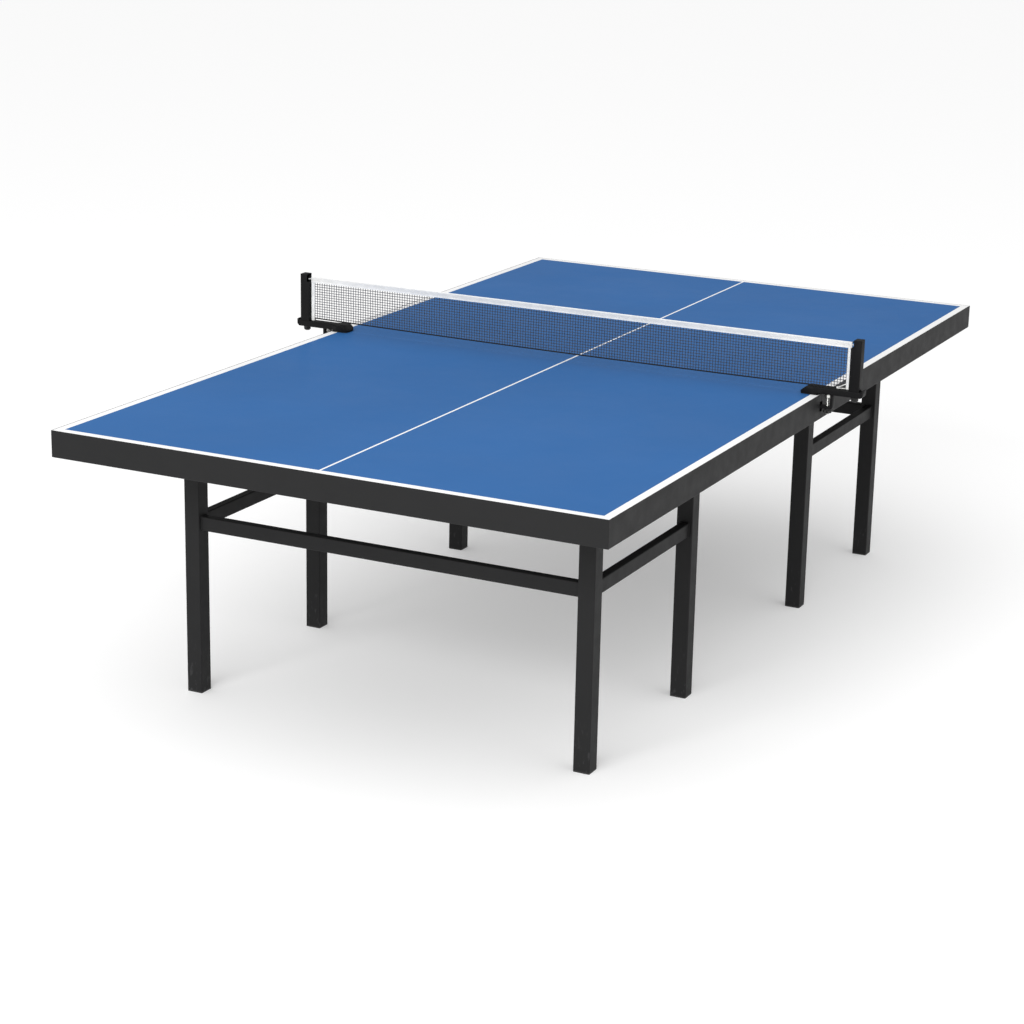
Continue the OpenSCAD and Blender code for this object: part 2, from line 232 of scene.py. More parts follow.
def softened(node, name, material, width):
    """A copy of a CAD node's shape with its sharp edges rounded."""
    work = bmesh.new()
    work.from_mesh(frame["nodes"][node].data)
    bmesh.ops.remove_doubles(work, verts=work.verts, dist=1e-6)
    bmesh.ops.dissolve_limit(
        work, angle_limit=math.radians(0.5), verts=work.verts, edges=work.edges
    )
    shape = Shape()
    shape.verts = [v.co.copy() for v in work.verts]
    for face in work.faces:
        shape.face([v.index for v in face.verts])
    work.free()
    piece = build(name, shape, [material])
    round_edges(piece, width)
    bake_modifiers(piece)
    piece.data.shade_smooth()
    piece.data.set_sharp_from_angle(angle=math.radians(35))
    return piece


def circle(centre, side, up, radius, count):
    """A ring of points around a centre, in the plane of two vectors."""
    turns = (2 * math.pi * k / count for k in range(count))
    return [centre + (side * math.cos(a) + up * math.sin(a)) * radius for a in turns]


def tube_rings(path, radius, count, closed=False):
    """Rings along a path. The radius is a number or a function of the distance along it."""
    points = [Vector(p) for p in path]
    last = len(points) - 1
    rings, travelled = [], 0.0
    side = None
    for i, point in enumerate(points):
        before = points[i - 1] if i or closed else point
        after = points[(i + 1) % len(points)] if i < last or closed else point
        tangent = (after - before).normalized()
        if side is None:
            helper = Vector((0, 0, 1)) if abs(tangent.z) < 0.9 else Vector((1, 0, 0))
            side = tangent.cross(helper).normalized()
        side = (side - tangent * side.dot(tangent)).normalized()
        if i:
            travelled += (point - points[i - 1]).length
        r = radius(travelled) if callable(radius) else radius
        rings.append(circle(point, side, tangent.cross(side), r, count))
    return rings


def turned(axis_x, outline, steps, reshape=None, loop=False):
    """Turns an outline of (radius, z) points about an upright axis at the net's middle plane.

    reshape(r, z, angle) alters the radius. A loop joins the outline's last point to its first.
    """
    shape = Shape()
    for k in range(steps):
        angle = 2 * math.pi * k / steps
        for r, z in outline:
            if reshape:
                r = reshape(r, z, angle)
            shape.verts.append(Vector((axis_x + r * math.cos(angle), r * math.sin(angle), z)))
    n = len(outline)
    for k in range(steps):
        a, b = k * n, (k + 1) % steps * n
        for i in range(n if loop else n - 1):
            j = (i + 1) % n
            shape.face((a + i, a + j, b + j, b + i))
    if not loop:
        shape.face([k * n for k in range(steps)])
        shape.face([k * n + n - 1 for k in range(steps)])
    return shape


def smooth_path(points, per_span):
    """A Catmull-Rom curve through given points."""
    p = [Vector(q) for q in points]
    p = [2 * p[0] - p[1], *p, 2 * p[-1] - p[-2]]
    path = []
    for i in range(1, len(p) - 2):
        for step in range(per_span):
            t = step / per_span
            a, b, c, d = p[i - 1], p[i], p[i + 1], p[i + 2]
            path.append(
                0.5 * (2 * b + (c - a) * t + (2 * a - 5 * b + 4 * c - d) * t * t
                       + (3 * b - a - 3 * c + d) * t ** 3)
            )
    return [*path, p[-2]]


# ---------------------------------------------------------------- materials

class Paint:
    """A Principled material with room for its own procedural nodes."""

    def __init__(self, name, colour, roughness, metallic=0.0, specular=0.5):
        self.material = bpy.data.materials.new(name)
        self.material.use_nodes = True
        self.tree = self.material.node_tree
        self.shader = self.tree.nodes["Principled BSDF"]
        self.shader.inputs["Base Color"].default_value = (*colour, 1)
        self.shader.inputs["Roughness"].default_value = roughness
        self.shader.inputs["Metallic"].default_value = metallic
        self.shader.inputs["Specular IOR Level"].default_value = specular
        self.colour, self.roughness = colour, roughness
        self.place = self.node("ShaderNodeTexCoord").outputs["Object"]

    def node(self, kind, **values):
        """Adds a node; each value sets a property of it, or else an input."""
        made = self.tree.nodes.new(kind)
        for key, value in values.items():
            if hasattr(made, key):
                setattr(made, key, value)
            else:
                made.inputs[key.replace("_", " ")].default_value = value
        return made

    def link(self, source, target):
        self.tree.links.new(source, target)

    def grain(self, scale, detail=3.0, stretch=(1, 1, 1)):
        """Noise of that many grains a metre, stretched along the axes."""
        mapping = self.node("ShaderNodeMapping", Scale=stretch)
        self.link(self.place, mapping.inputs["Vector"])
        made = self.node("ShaderNodeTexNoise", Scale=scale, Detail=detail)
        self.link(mapping.outputs["Vector"], made.inputs["Vector"])
        return made.outputs["Fac"]

    def ramp(self, value, low, high, to_low, to_high):
        """Maps a value from low..high to to_low..to_high."""
        made = self.node("ShaderNodeMapRange", From_Min=low, From_Max=high, To_Min=to_low, To_Max=to_high)
        self.link(value, made.inputs["Value"])
        return made.outputs["Result"]

    def tint(self, factor, colour):
        """Mixes a colour over the base colour by a factor that varies over the surface."""
        mix = self.node("ShaderNodeMix", data_type="RGBA")
        mix.inputs[MIX_A].default_value = (*self.colour, 1)
        mix.inputs[MIX_B].default_value = (*colour, 1)
        target = self.shader.inputs["Base Color"]
        if target.is_linked:
            self.link(target.links[0].from_socket, mix.inputs[MIX_A])
        self.link(factor, mix.inputs[MIX_FACTOR])
        self.link(mix.outputs[MIX_RESULT], target)
        return self

    def mottle(self, amount, scale):
        """Lighter and darker patches around the base colour."""
        patch = self.grain(scale)
        darker = tuple(c * (1 - amount) for c in self.colour)
        lighter = tuple(min(1, c * (1 + amount)) for c in self.colour)
        self.tint(self.ramp(patch, 0.35, 0.5, 1, 0), darker)
        return self.tint(self.ramp(patch, 0.5, 0.65, 0, 1), lighter)

    def vary_roughness(self, amount, scale):
        """Rougher and smoother patches around the base roughness."""
        low, high = self.roughness - amount, self.roughness + amount
        self.link(self.ramp(self.grain(scale), 0.3, 0.7, low, high), self.shader.inputs["Roughness"])
        return self

    def bump(self, value, distance, strength=1.0):
        """Raises the surface by a value, on top of any bump it has."""
        made = self.node("ShaderNodeBump", Strength=strength, Distance=distance)
        self.link(value, made.inputs["Height"])
        target = self.shader.inputs["Normal"]
        if target.is_linked:
            self.link(target.links[0].from_socket, made.inputs["Normal"])
        self.link(made.outputs["Normal"], target)
        return self

    def wave(self, pitch, direction, distortion, stretch=(1, 1, 1)):
        """Bands one pitch apart."""
        mapping = self.node("ShaderNodeMapping", Scale=stretch)
        self.link(self.place, mapping.inputs["Vector"])
        made = self.node(
            "ShaderNodeTexWave", bands_direction=direction, Scale=WAVE_PERIOD / pitch, Distortion=distortion
        )
        self.link(mapping.outputs["Vector"], made.inputs["Vector"])
        return made.outputs["Fac"]

    def combine(self, operation, one, other):
        """One Math node over two values."""
        made = self.node("ShaderNodeMath", operation=operation)
        self.link(one, made.inputs[0])
        self.link(other, made.inputs[1])
        return made.outputs[0]


def table_paint(name, colour, roughness, specular):
    """Satin lacquer with a faint sprayed texture."""
    paint = Paint(name, colour, roughness, specular=specular)
    paint.mottle(amount=0.035, scale=1.6).vary_roughness(amount=0.05, scale=5)
    paint.bump(paint.grain(900, 2), 0.00004).bump(paint.grain(60), 0.00006, 0.5)
    return paint.material


def powder_coat(name, colour, roughness, specular):
    """Powder coat: orange-peel skin, patchy sheen, and scuffs that grow towards the floor."""
    paint = Paint(name, colour, roughness, specular=specular)
    paint.mottle(amount=0.035, scale=5).vary_roughness(amount=0.04, scale=26)
    split = paint.node("ShaderNodeSeparateXYZ")
    paint.link(paint.place, split.inputs["Vector"])
    near_floor = paint.ramp(split.outputs["Z"], 0.16, 0.0, 0.0, 0.75)
    scuffs = paint.ramp(paint.grain(140, 6, (1, 1, 0.35)), 0.60, 0.66, 0.0, 1.0)
    paint.tint(paint.combine("MULTIPLY", near_floor, scuffs), tuple(min(1, c * 3.2) for c in colour))
    paint.bump(paint.grain(620, 2), 0.00012).bump(paint.grain(2400, 1), 0.00002)
    return paint.material


def board_core(name, colour):
    """Sealed particle board: fine chips under a thin stain."""
    paint = Paint(name, colour, 0.6, specular=0.3)
    paint.mottle(amount=0.25, scale=240).vary_roughness(amount=0.08, scale=90)
    paint.bump(paint.grain(700), 0.0001)
    return paint.material


def moulded_plastic(name, colour, roughness):
    """Injection-moulded plastic with a fine leather grain."""
    paint = Paint(name, colour, roughness, specular=0.45)
    paint.mottle(amount=0.08, scale=60).vary_roughness(amount=0.06, scale=150)
    cells = paint.node("ShaderNodeTexVoronoi", Scale=1300)
    paint.link(paint.place, cells.inputs["Vector"])
    paint.bump(cells.outputs["Distance"], 0.00008)
    return paint.material


def plated_metal(name, colour, roughness):
    """Plated or turned metal with fine tool marks across its length."""
    paint = Paint(name, colour, roughness, metallic=1.0)
    paint.mottle(amount=0.07, scale=120).vary_roughness(amount=0.08, scale=300)
    paint.bump(paint.grain(500, 2, (1, 1, 8)), 0.00003)
    return paint.material


def rubber(name, colour):
    """Moulded rubber, dull and slightly open-grained."""
    paint = Paint(name, colour, 0.75, specular=0.25)
    paint.mottle(amount=0.15, scale=180).vary_roughness(amount=0.06, scale=240)
    paint.bump(paint.grain(1500, 3), 0.0001)
    return paint.material


def woven_cloth(name, colour, thread=0.0007):
    """Plain-weave cotton: threads across and upright, darker between them."""
    paint = Paint(name, colour, 0.85, specular=0.15)
    weave = paint.combine("MAXIMUM", paint.wave(thread, "X", 0.4), paint.wave(thread, "Z", 0.4))
    paint.mottle(amount=0.05, scale=35).vary_roughness(amount=0.04, scale=90)
    paint.tint(paint.ramp(weave, 0.75, 0.3, 0, 0.5), tuple(c * 0.8 for c in colour))
    paint.shader.inputs["Sheen Weight"].default_value = 0.15
    paint.bump(weave, 0.00018)
    return paint.material


def braided_cord(name, colour):
    """Braided cord: diagonal strands both ways, darker between them."""
    strand = 0.0011
    paint = Paint(name, colour, 0.7, specular=0.25)
    one = paint.wave(strand, "DIAGONAL", 0.2)
    other = paint.wave(strand, "DIAGONAL", 0.2, stretch=(-1, 1, 1))
    braid = paint.combine("MAXIMUM", one, other)
    paint.mottle(amount=0.10, scale=60).vary_roughness(amount=0.05, scale=120)
    paint.tint(paint.ramp(braid, 0.8, 0.3, 0, 0.6), tuple(c * 0.6 for c in colour))
    paint.bump(braid, 0.0002)
    return paint.material


def twisted_thread(name, colour):
    """Netting thread: tight twist and a little fluff."""
    paint = Paint(name, colour, 0.7, specular=0.25)
    twist = paint.wave(0.0009, "DIAGONAL", 0.6)
    paint.mottle(amount=0.18, scale=45).vary_roughness(amount=0.06, scale=200)
    paint.shader.inputs["Sheen Weight"].default_value = 0.2
    paint.bump(twist, 0.00012)
    return paint.material


BLUE = table_paint("blue_lacquer", (0.0345, 0.132, 0.350), 0.40, 0.03)
WHITE = table_paint("white_line_lacquer", (0.88, 0.88, 0.88), 0.45, 0.03)
EDGE = board_core("board_edge_stain", (0.035, 0.033, 0.032))
BACKING = table_paint("board_backing", (0.05, 0.048, 0.046), 0.6, 0.2)
FRAME_COAT = powder_coat("charcoal_powder_coat", (0.0148, 0.0148, 0.0152), 0.55, 0.14)
CLAMP_COAT = powder_coat("black_powder_coat", (0.0072, 0.0072, 0.0076), 0.5, 0.09)
CAP_PLASTIC = moulded_plastic("foot_cap_plastic", (0.018, 0.018, 0.018), 0.55)
KNOB_PLASTIC = moulded_plastic("knob_plastic", (0.011, 0.011, 0.011), 0.38)
ZINC = plated_metal("bright_zinc", (0.72, 0.72, 0.70), 0.28)
BRASS = plated_metal("turned_brass", (0.78, 0.56, 0.25), 0.3)
PAD_RUBBER = rubber("pad_rubber", (0.010, 0.010, 0.010))
TAPE_CLOTH = woven_cloth("tape_cotton", (0.80, 0.795, 0.775))
# Whiter cotton: the sleeves' own colour, and on the tape a painted highlight along the hem and the fold
SLEEVE_CLOTH_AND_HEM_HIGHLIGHT = woven_cloth("sleeve_cotton_and_hem_highlight", (0.88, 0.88, 0.87))
STITCH = woven_cloth("stitching_thread", (0.80, 0.80, 0.78), 0.0004)
THREAD = twisted_thread("net_thread", (0.036, 0.041, 0.056))
BLACK_CORD = braided_cord("black_cord", (0.012, 0.012, 0.013))
WHITE_CORD = braided_cord("white_cord", (0.80, 0.80, 0.78))


# ---------------------------------------------------------------- camera, light and floor

def make_camera():
    """The camera, from its heading, its dip below the horizon and its roll."""
    heading, dip, roll = (math.radians(a) for a in (HEADING_DEG, DIP_DEG, ROLL_DEG))
    level = Vector((-math.sin(heading), math.cos(heading), 0))
    right = Vector((math.cos(heading), math.sin(heading), 0))
    up = Vector((0, 0, 1))
    look = level * math.cos(dip) - up * math.sin(dip)
    top = up * math.cos(dip) + level * math.sin(dip)
    side = right * math.cos(roll) + top * math.sin(roll)
    top = top * math.cos(roll) - right * math.sin(roll)
    data = bpy.data.cameras.new("camera")
    data.lens, data.sensor_width = LENS_MM, SENSOR_MM
    data.clip_end = CLIP_END
    camera = bpy.data.objects.new("camera", data)
    turn = Matrix((side, top, -look)).transposed().to_4x4()
    camera.matrix_world = Matrix.Translation(CAMERA_AT) @ turn
    scene.collection.objects.link(camera)
    scene.camera = camera


def make_sky():
    """A soft white studio dome, brightest overhead and dim at the horizon."""
    world = bpy.data.worlds.new("studio_dome")
    scene.world = world
    world.use_nodes = True
    tree = world.node_tree
    place = tree.nodes.new("ShaderNodeTexCoord")
    split = tree.nodes.new("ShaderNodeSeparateXYZ")
    rise = tree.nodes.new("ShaderNodeMapRange")
    rise.interpolation_type = "SMOOTHSTEP"
    for key, value in (
        ("From Min", SKY_RISES_FROM), ("From Max", SKY_RISES_TO),
        ("To Min", SKY_AT_HORIZON), ("To Max", SKY_OVERHEAD),
    ):
        rise.inputs[key].default_value = value
    tree.links.new(place.outputs["Generated"], split.inputs["Vector"])
    tree.links.new(split.outputs["Z"], rise.inputs["Value"])
    tree.links.new(rise.outputs["Result"], tree.nodes["Background"].inputs["Strength"])
    tree.nodes["Background"].inputs["Color"].default_value = (1, 1, 1, 1)


def make_lamp(name, place, size, power):
    """A softbox that the camera doesn't see."""
    data = bpy.data.lights.new(name, "AREA")
    data.shape, data.size, data.size_y, data.energy = "RECTANGLE", size[0], size[1], power
    lamp = bpy.data.objects.new(name, data)
    lamp.location = place
    lamp.rotation_euler = (Vector(LAMPS_AIM) - Vector(place)).to_track_quat("-Z", "Y").to_euler()
    lamp.visible_camera = False
    scene.collection.objects.link(lamp)


def make_floor():
    """A plain pale floor, lit a little from within so that it stays white to the horizon."""
    mesh = bpy.data.meshes.new("floor")
    h = FLOOR_HALF
    mesh.from_pydata([(-h, -h, 0), (h, -h, 0), (h, h, 0), (-h, h, 0)], [], [(0, 1, 2, 3)])
    paint = Paint("pale_floor", (FLOOR_ALBEDO,) * 3, 0.9, specular=0.0)
    paint.shader.inputs["Emission Color"].default_value = (1, 1, 1, 1)
    paint.shader.inputs["Emission Strength"].default_value = FLOOR_GLOW
    mesh.materials.append(paint.material)
    floor = bpy.data.objects.new("floor", mesh)
    floor.location.z = -FLOOR_DROP
    scene.collection.objects.link(floor)


def make_backdrop():
    """A white wall all round, far off. Only the camera sees it: it lights nothing and isn't reflected."""
    centre, side, ahead = Vector((0, 0, 0)), Vector((1, 0, 0)), Vector((0, 1, 0))
    foot = circle(centre, side, ahead, BACKDROP_R, 96)
    paint = Paint("white_backdrop", (0, 0, 0), 1.0, specular=0.0)
    paint.shader.inputs["Emission Color"].default_value = (1, 1, 1, 1)
    paint.shader.inputs["Emission Strength"].default_value = BACKDROP_GLOW
    paint.material.cycles.emission_sampling = "NONE"
    wall = Shape().skin([foot, [p + Vector((0, 0, BACKDROP_H)) for p in foot]], ends=False)
    backdrop = build("backdrop", wall, [paint.material])
    for ray in ("diffuse", "glossy", "transmission", "volume_scatter", "shadow"):
        setattr(backdrop, f"visible_{ray}", False)


# ---------------------------------------------------------------- boards

def dowel_centres():
    """The dowels' x and z: one in the middle and one at each end of their node's box."""
    low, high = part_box("dowel_pins")
    r = (high.z - low.z) / 2
    return [(x, (low.z + high.z) / 2) for x in (low.x + r, 0.0, high.x - r)]


def board(half):
    """Board with a blue top, white border and centre line, stained edges, and dowel bores at the seam."""
    low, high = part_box(f"{half}_board")
    way = HALVES[half]
    end, seam = (low.y, high.y) if way < 0 else (high.y, low.y)
    inset = LINE_W - LIP_T
    xs = [low.x, low.x + inset, -CENTRE_LINE_W / 2, CENTRE_LINE_W / 2, high.x - inset, high.x]
    ys = [end, end - way * inset, seam]
    shape = Shape()
    for z in (low.z, high.z):
        shape.verts.extend(Vector((x, y, z)) for y in ys for x in xs)
    n, top = len(xs), len(xs) * len(ys)
    blue, white, edge, backing = range(4)
    for row in range(2):
        for column in range(n - 1):
            a = row * n + column
            corners = (a, a + 1, a + 1 + n, a + n)
            on_field = row == 1 and column in (1, 3)
            shape.face([top + c for c in corners], blue if on_field else white)
            shape.face(corners, backing)
        for a in (row * n, row * n + n - 1):
            shape.face((a, a + n, top + a + n, top + a), edge)
    for column in range(n - 1):
        for a in (column, 2 * n + column):
            shape.face((a, a + 1, top + a + 1, top + a), edge)
    piece = build(f"{half}_board_panel", shape, [BLUE, WHITE, EDGE, BACKING])
    round_edges(piece, PAINT_EDGE_R)
    bore_low, bore_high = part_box("dowel_bushes" if half == "far" else "dowel_pins")
    bore_r = (bore_high.z - bore_low.z) / 2
    depth = bore_high.y if half == "far" else -bore_low.y
    bores = Shape()
    for x, z in dowel_centres():
        ends = [Vector((x, -way * BORE_OVERCUT, z)), Vector((x, way * depth, z))]
        bores.skin([circle(p, Vector((1, 0, 0)), Vector((0, 0, 1)), bore_r, BORE_SIDES) for p in ends])
    bake_modifiers(piece)
    piece.data.materials.append(EDGE)
    cut(piece, bores)
    settle(piece, f"{half}_half", "painted_board", f"{half}_board")


# ---------------------------------------------------------------- steel frame

def finish_nodes():
    """Gives every CAD node that stays its procedural material."""
    slots = {row["node"]: row["material_slot"] for row in frame["record"]["subparts"]}
    looks = {
        "frame_steel": FRAME_COAT, "clamp_steel": CLAMP_COAT, "cap_plastic": CAP_PLASTIC,
        "zinc_fastener": ZINC, "bush_brass": BRASS, "knob_plastic": KNOB_PLASTIC,
        "pad_rubber": PAD_RUBBER, "painted_board": BLUE, "net_thread": THREAD,
        "net_tape": TAPE_CLOTH, "net_cord": BLACK_CORD,
    }
    for name, node in frame["nodes"].items():
        node.data.materials.clear()
        node.data.materials.append(looks[slots[name]])


def bead(shape, corners, closed):
    """A rippled weld bead along straight runs between corners."""
    path = []
    count = len(corners)
    for i in range(count if closed else count - 1):
        a, b = Vector(corners[i]), Vector(corners[(i + 1) % count])
        steps = max(1, round((b - a).length / (RIPPLE / 2)))
        path.extend(a.lerp(b, s / steps) for s in range(steps))
    if not closed:
        path.append(Vector(corners[-1]))

    def rippled(along):
        return BEAD_R * (1 + RIPPLE_DEPTH * math.sin(2 * math.pi * along / RIPPLE))
    shape.skin(tube_rings(path, rippled, BEAD_SIDES, closed), ends=not closed, loop=closed)


def round_rect(half_a, half_b, r, per_corner=3):
    """Corner points of a rectangle with round corners, anticlockwise."""
    points = []
    for quarter, (sa, sb) in enumerate(((1, 1), (-1, 1), (-1, -1), (1, -1))):
        for k in range(per_corner + 1):
            angle = math.pi / 2 * (quarter + k / per_corner)
            a = sa * (half_a - r) + r * math.cos(angle)
            points.append((a, sb * (half_b - r) + r * math.sin(angle)))
    return points


def welds(half):
    """Beads around the rails' ends, the legs' tops and the bearers' ends."""
    shape = Shape()
    sunk = BEAD_R * 0.4
    tube_corner_r = 0.003

    def around(node, plane, axis, inwards):
        """A bead round a tube where it meets a plane across one axis."""
        low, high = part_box(node)
        centre, size = (low + high) / 2, (high - low) / 2
        u, v = (a for a in range(3) if a != axis)
        corners = []
        for a, b in round_rect(size[u] + BEAD_GAP, size[v] + BEAD_GAP, tube_corner_r):
            p = Vector((0, 0, 0))
            p[axis] = plane + inwards * sunk
            p[u], p[v] = centre[u] + a, centre[v] + b
            corners.append(p)
        bead(shape, corners, True)

    low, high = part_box(f"{half}_end_rail")
    around(f"{half}_end_rail", low.x, 0, 1)
    around(f"{half}_end_rail", high.x, 0, -1)
    for side in SIDES:
        rail = f"{half}_{side}_rail"
        low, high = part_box(rail)
        around(rail, low.y, 1, 1)
        around(rail, high.y, 1, -1)
        for place in ("outer", "inner"):
            leg = f"{half}_{side}_{place}_leg"
            around(leg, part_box(leg)[1].z, 2, -1)
    for node in (f"{half}_outer_bearer", f"{half}_inner_bearer", f"{half}_centre_beam"):
        low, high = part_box(node)
        hangs_free = "bearer" in node
        top = high.z - BEAD_STOP
        foot = low.z - BEAD_GAP if hangs_free else low.z + BEAD_STOP
        front, back = low.y - BEAD_GAP, high.y + BEAD_GAP
        for x in (low.x + sunk, high.x - sunk):
            bead(shape, [(x, front, top), (x, front, foot)], False)
            bead(shape, [(x, back, top), (x, back, foot)], False)
            if hangs_free:
                bead(shape, [(x, front, foot), (x, back, foot)], False)
    settle(build(f"{half}_welds", shape, [FRAME_COAT]), f"{half}_half", "frame_steel")


# ---------------------------------------------------------------- net clamps

def middle_x(node):
    """The x of the middle of a node's box."""
    low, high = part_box(node)
    return (low.x + high.x) / 2


def section(x, half_w, z_low, z_high):
    """One station of the clamp arm: a rectangle with round corners across the arm."""
    middle, half_h = (z_low + z_high) / 2, (z_high - z_low) / 2
    r = min(0.0022, half_h * 0.9, half_w * 0.9)
    return [Vector((x, a, middle + b)) for a, b in round_rect(half_w, half_h, r, 4)]


def clamp_arm(side):
    """Arm with a flared jaw, a sloping nose and an upturned outer lip."""
    low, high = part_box("right_clamp_arm")
    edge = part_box("near_right_apron")[1].x
    bar, jaw = 0.015, high.y
    top = low.z + 0.017
    nose = 0.016
    stations = [  # x, half width, underside and top: nose, jaw, bar, and the lip that turns up
        (low.x, jaw - 0.0095, low.z + 0.0012, low.z + 0.0030),
        (low.x + 0.0012, jaw - 0.0072, low.z + 0.0003, low.z + 0.0048),
        (low.x + 0.0035, jaw - 0.0035, low.z, low.z + 0.0068),
        (low.x + 0.0065, jaw - 0.0010, low.z, low.z + 0.0092),
        (low.x + 0.0105, jaw, low.z, low.z + 0.0124),
        (low.x + nose - 0.001, jaw, low.z, top - 0.0008),
        (low.x + nose + 0.002, jaw, low.z, top),
        (low.x + 0.034, jaw, low.z, top),
        (low.x + 0.038, jaw - 0.0007, low.z, top),
        (low.x + 0.042, jaw - 0.0026, low.z, top),
        (edge - 0.004, bar + 0.0022, low.z, top),
        (edge, bar + 0.0006, low.z, top),
        (edge + 0.004, bar, low.z, top),
        (high.x - 0.0075, bar, low.z, top),
        (high.x - 0.0055, bar, low.z + 0.0006, top + 0.0006),
        (high.x - 0.0042, bar, low.z + 0.0018, high.z - 0.0008),
        (high.x - 0.0032, bar, low.z + 0.0028, high.z),
        (high.x - 0.0008, bar, low.z + 0.0052, high.z),
        (high.x, bar - 0.0008, low.z + 0.0062, high.z - 0.0008),
    ]
    shape = Shape().skin([section(*s) for s in stations])
    stem_x = middle_x("right_height_knob")
    ends = [Vector((stem_x, 0, z)) for z in (low.z - BORE_OVERCUT, top + BORE_OVERCUT)]
    across, ahead = Vector((1, 0, 0)), Vector((0, 1, 0))
    bore = Shape().skin([circle(p, across, ahead, STEM_BORE_R, BORE_SIDES) for p in ends])
    if side == "left":
        shape.mirrored_x()
        bore.mirrored_x()
    piece = cut(build(f"{side}_clamp_bracket", shape, [CLAMP_COAT], 50), bore)
    settle(piece, "near_half", "clamp_steel", f"{side}_clamp_arm")


def threaded_studs():
    """Both clamp studs with their real 1.5 mm thread."""
    low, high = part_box("clamp_studs")
    r = (high.y - low.y) / 2
    depth, rows_a_turn, around, tip = 0.0008, 6, 18, 0.6
    shape = Shape()
    rows = int((high.z - low.z) / STUD_PITCH * rows_a_turn)
    for side in SIDES:
        x = middle_x(f"{side}_clamp_knob")
        rings = []
        for row in range(rows + 1):
            z = low.z + (high.z - low.z) * row / rows
            lead = min(1.0, (z - low.z) / STUD_PITCH + tip)
            ring = []
            for k in range(around):
                angle = 2 * math.pi * k / around
                phase = (z / STUD_PITCH + k / around) % 1.0
                radius = (r - depth * abs(2 * phase - 1)) * lead
                ring.append(Vector((x + radius * math.cos(angle), radius * math.sin(angle), z)))
            rings.append(ring)
        shape.skin(rings)
    settle(build("threaded_studs", shape, [ZINC], 60), "near_half", "zinc_fastener", "clamp_studs")


def hexagon(across_flats):
    """Limits a turned radius to a hexagon."""
    def limit(r, z, angle):
        within = (angle + math.pi / 6) % (math.pi / 3) - math.pi / 6
        return min(r, across_flats / 2 / math.cos(within))
    return limit


def lock_nuts():
    """A chamfered hexagon nut and a washer on each stud, up against the arm."""
    low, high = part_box("stud_nuts")
    washer_r, washer_t, flats = 0.0085, 0.002, 0.016
    chamfer, ease = 0.0009, 0.0003
    corner = flats / 2 / math.cos(math.pi / 6)
    face_r = flats / 2 * 0.95
    z0, z1, z2 = low.z, high.z - washer_t, high.z
    nut = [(STUD_BORE_R, z0), (face_r, z0), (corner, z0 + chamfer),
           (corner, z1 - chamfer), (face_r, z1), (STUD_BORE_R, z1)]
    washer = [(STUD_BORE_R, z1), (washer_r - ease, z1), (washer_r, z1 + ease),
              (washer_r, z2 - ease), (washer_r - ease, z2), (STUD_BORE_R, z2)]
    shape = Shape()
    for side in SIDES:
        x = middle_x(f"{side}_clamp_knob")
        shape.add(turned(x, nut, 48, hexagon(flats), loop=True))
        shape.add(turned(x, washer, 48, loop=True))
    settle(build("lock_nuts", shape, [ZINC], 25), "near_half", "zinc_fastener", "stud_nuts")


def star_knob(side):
    """Six-lobed knob on the stud, with a collar towards the jaw."""
    low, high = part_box(f"{side}_clamp_knob")
    reach = (high.x - low.x) / 2
    lobe_top = high.z - 0.003
    bore, collar = 0.0051, 0.0075
    lobe_count, lobe_depth = 6, 0.14
    outline = [
        (bore, low.z), (reach * 0.80, low.z), (reach * 0.93, low.z + 0.0007), (reach, low.z + 0.0025),
        (reach, lobe_top - 0.0025), (reach * 0.94, lobe_top - 0.0007), (reach * 0.82, lobe_top),
        (collar + 0.0008, lobe_top), (collar, lobe_top + 0.0008), (collar, high.z - 0.0005),
        (collar - 0.0005, high.z), (bore, high.z),
    ]

    def lobes(r, z, angle):
        if r < reach * 0.7:
            return r
        return r * (1 - lobe_depth + lobe_depth * math.cos(lobe_count * angle))
    shape = turned(middle_x(f"{side}_clamp_knob"), outline, lobe_count * 16, lobes, loop=True)
    piece = build(f"{side}_star_knob", shape, [KNOB_PLASTIC])
    settle(piece, f"{side}_knob", "knob_plastic", f"{side}_clamp_knob")


def ribbed_knob(side):
    """Round ribbed knob with a domed underside, on the post's stem."""
    low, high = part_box(f"{side}_height_knob")
    r = (high.y - low.y) / 2
    ribs, rib_depth, bore = 18, 0.09, 0.0043
    outline = [
        (r * 0.12, low.z), (r * 0.42, low.z + 0.0003), (r * 0.68, low.z + 0.0011),
        (r * 0.88, low.z + 0.0026), (r * 0.97, low.z + 0.0040), (r, low.z + 0.0052),
        (r, high.z - 0.0022), (r * 0.985, high.z - 0.0012), (r * 0.93, high.z - 0.0003),
        (r * 0.88, high.z), (bore, high.z), (bore, low.z + 0.0024), (0.0004, low.z + 0.0022),
    ]

    def ribbed(radius, z, angle):
        if radius < r * 0.9 or z > high.z - 0.001:
            return radius
        return radius * (1 - rib_depth * max(0.0, math.cos(ribs * angle)) ** 2)
    shape = turned(middle_x(f"{side}_height_knob"), outline, ribs * 8, ribbed)
    piece = build(f"{side}_ribbed_knob", shape, [KNOB_PLASTIC])
    settle(piece, f"{side}_adjuster", "knob_plastic", f"{side}_height_knob")


def clamp_details():
    """Pieces whose CAD shape is right but for its sharp edges, each with its rounding."""
    steel, soft = (CLAMP_COAT, "clamp_steel"), (PAD_RUBBER, "pad_rubber")
    rows = []
    for side in SIDES:
        rows += [
            (f"{side}_lower_jaw", f"{side}_jaw_lever", f"{side}_jaw", steel, 0.0009),
            (f"{side}_lower_pad", f"{side}_jaw_pad", f"{side}_jaw", soft, 0.0005),
            (f"{side}_net_post", f"{side}_post_tube", "net_set", steel, 0.0004),
        ]
    rows += [
        ("upper_jaw_pads", "arm_pads", "near_half", soft, 0.0008),
        ("post_hooks", "cord_hooks", "net_set", steel, 0.0004),
    ]
    for node, name, body, (material, slot), width in rows:
        settle(softened(node, name, material, width), body, slot, node)


